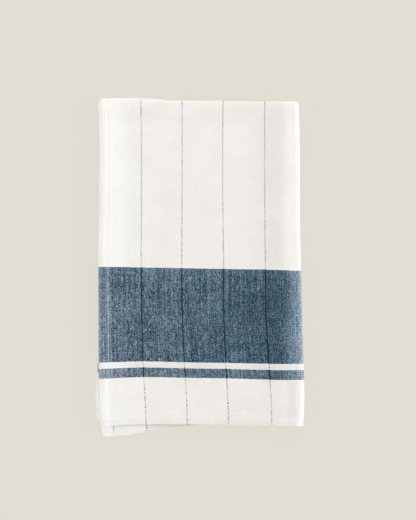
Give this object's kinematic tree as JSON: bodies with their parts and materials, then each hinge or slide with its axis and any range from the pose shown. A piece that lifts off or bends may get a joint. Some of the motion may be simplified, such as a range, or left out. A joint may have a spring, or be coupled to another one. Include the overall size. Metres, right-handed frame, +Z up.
{
  "type": "tea towel",
  "caption": "White cotton tea towel with thin dark stripes and a blue woven band, hemmed all round, folded in half both ways and lying flat.",
  "frame": {"origin": "on the table, under the middle of the folded towel's bounding rectangle", "axes": "+X towards the long fold, +Y towards the short folds, +Z up from the table"},
  "size_m": [0.226, 0.3678, 0.0101],
  "materials": {
    "cotton": "plain woven cotton, matt, white with dyed stripes and bands"
  },
  "bodies": {
    "root": {"towel": "cotton"}
  },
  "joints": []
}
